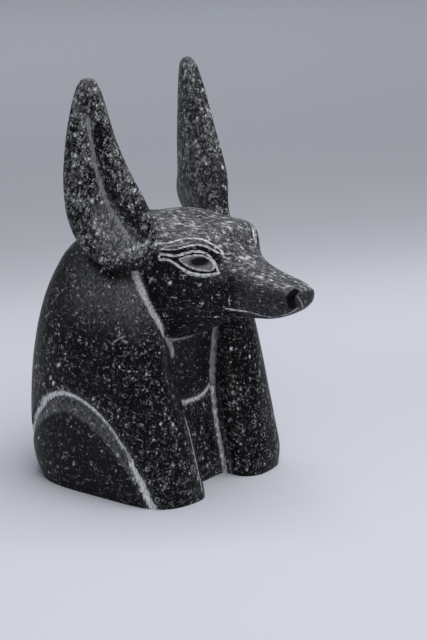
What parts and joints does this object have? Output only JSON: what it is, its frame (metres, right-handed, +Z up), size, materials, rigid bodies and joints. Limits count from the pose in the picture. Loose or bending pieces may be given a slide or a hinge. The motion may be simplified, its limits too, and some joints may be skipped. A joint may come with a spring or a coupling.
{
  "type": "jackal head sculpture",
  "caption": "Carved stone jackal head with tall ears, a long snout and a plain wig whose front lappets run down to a flat base.",
  "frame": {"origin": "on the flat underside, below the middle of the head", "axes": "+Z up to the ear tips, -Y along the snout, -X towards the figure's right ear"},
  "size_m": [0.0956, 0.1342, 0.182],
  "materials": {
    "stone": "polished near-black stone with pale peck marks and chalky grooves"
  },
  "bodies": {
    "root": {"anubis_head": "stone"}
  },
  "joints": []
}
